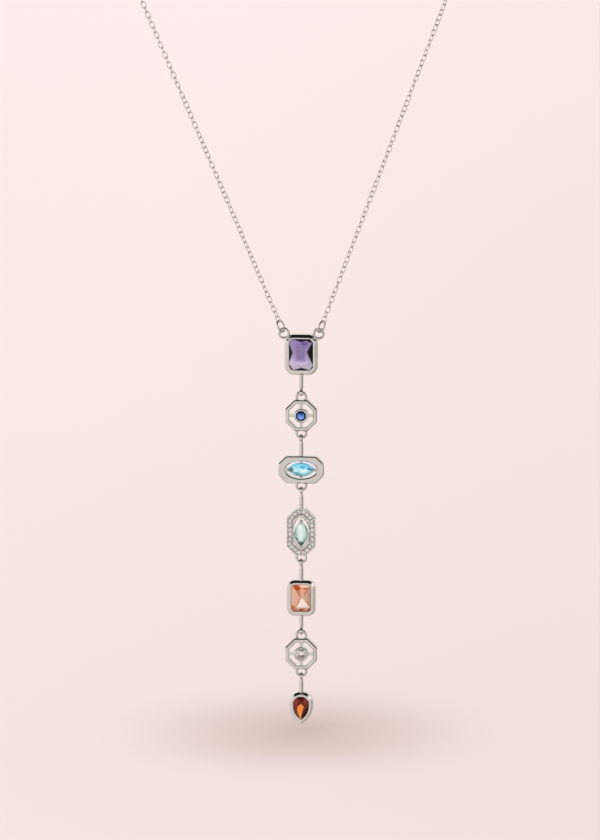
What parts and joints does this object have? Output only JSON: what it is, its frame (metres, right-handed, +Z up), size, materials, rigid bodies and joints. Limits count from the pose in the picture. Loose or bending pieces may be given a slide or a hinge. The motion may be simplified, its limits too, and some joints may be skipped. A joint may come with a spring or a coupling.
{
  "type": "y necklace",
  "caption": "Fine cable-chain Y necklace whose long jointed drop carries framed, faceted stones of mixed shapes and colours down to a small orange pear drop.",
  "frame": {"origin": "the middle of the clasp, at the nape, where the necklace hangs", "axes": "+Z up, along the hanging drop; the front of the necklace faces -Y; +X is to the right as seen from the front"},
  "size_m": [0.1028, 0.0807, 0.2243],
  "materials": {
    "silver": "polished white metal",
    "purple_stone": "faceted and polished",
    "blue_stone": "faceted and polished",
    "aqua_stone": "faceted and polished",
    "mint_stone": "faceted and polished",
    "peach_stone": "faceted and polished",
    "clear_stone": "faceted and polished",
    "orange_stone": "faceted and polished"
  },
  "bodies": {
    "necklace": {"chain_left": "silver", "chain_right": "silver", "end_link_left": "silver", "end_link_right": "silver", "clasp": "silver", "clasp_ring": "silver", "setting_1": "silver", "stone_1": "purple_stone"},
    "upper_octagon": {"setting_2": "silver", "stone_2": "blue_stone"},
    "oval_plate": {"setting_3": "silver", "stone_3": "aqua_stone"},
    "long_plate": {"setting_4": "silver", "stone_4": "mint_stone", "pave_stones": "clear_stone"},
    "lower_bezel": {"setting_5": "silver", "stone_5": "peach_stone"},
    "lower_octagon": {"setting_6": "silver", "stone_6": "clear_stone"},
    "end_drop": {"setting_7": "silver", "stone_7": "orange_stone"}
  },
  "joints": [
    {"name": "swing_1", "type": "hinge", "parent": "necklace", "child": "upper_octagon", "pos_m": [0.0022, -0.077, -0.13715], "axis": [1, 0, 0], "range_deg": [-45, 45]},
    {"name": "swing_2", "type": "hinge", "parent": "upper_octagon", "child": "oval_plate", "pos_m": [0.0022, -0.077, -0.14865], "axis": [1, 0, 0], "range_deg": [-45, 45]},
    {"name": "swing_3", "type": "hinge", "parent": "oval_plate", "child": "long_plate", "pos_m": [0.0022, -0.077, -0.16193], "axis": [1, 0, 0], "range_deg": [-45, 45]},
    {"name": "swing_4", "type": "hinge", "parent": "long_plate", "child": "lower_bezel", "pos_m": [0.0022, -0.077, -0.18025], "axis": [1, 0, 0], "range_deg": [-45, 45]},
    {"name": "swing_5", "type": "hinge", "parent": "lower_bezel", "child": "lower_octagon", "pos_m": [0.0022, -0.077, -0.19775], "axis": [1, 0, 0], "range_deg": [-45, 45]},
    {"name": "swing_6", "type": "hinge", "parent": "lower_octagon", "child": "end_drop", "pos_m": [0.0022, -0.077, -0.20925], "axis": [1, 0, 0], "range_deg": [-45, 45]}
  ]
}
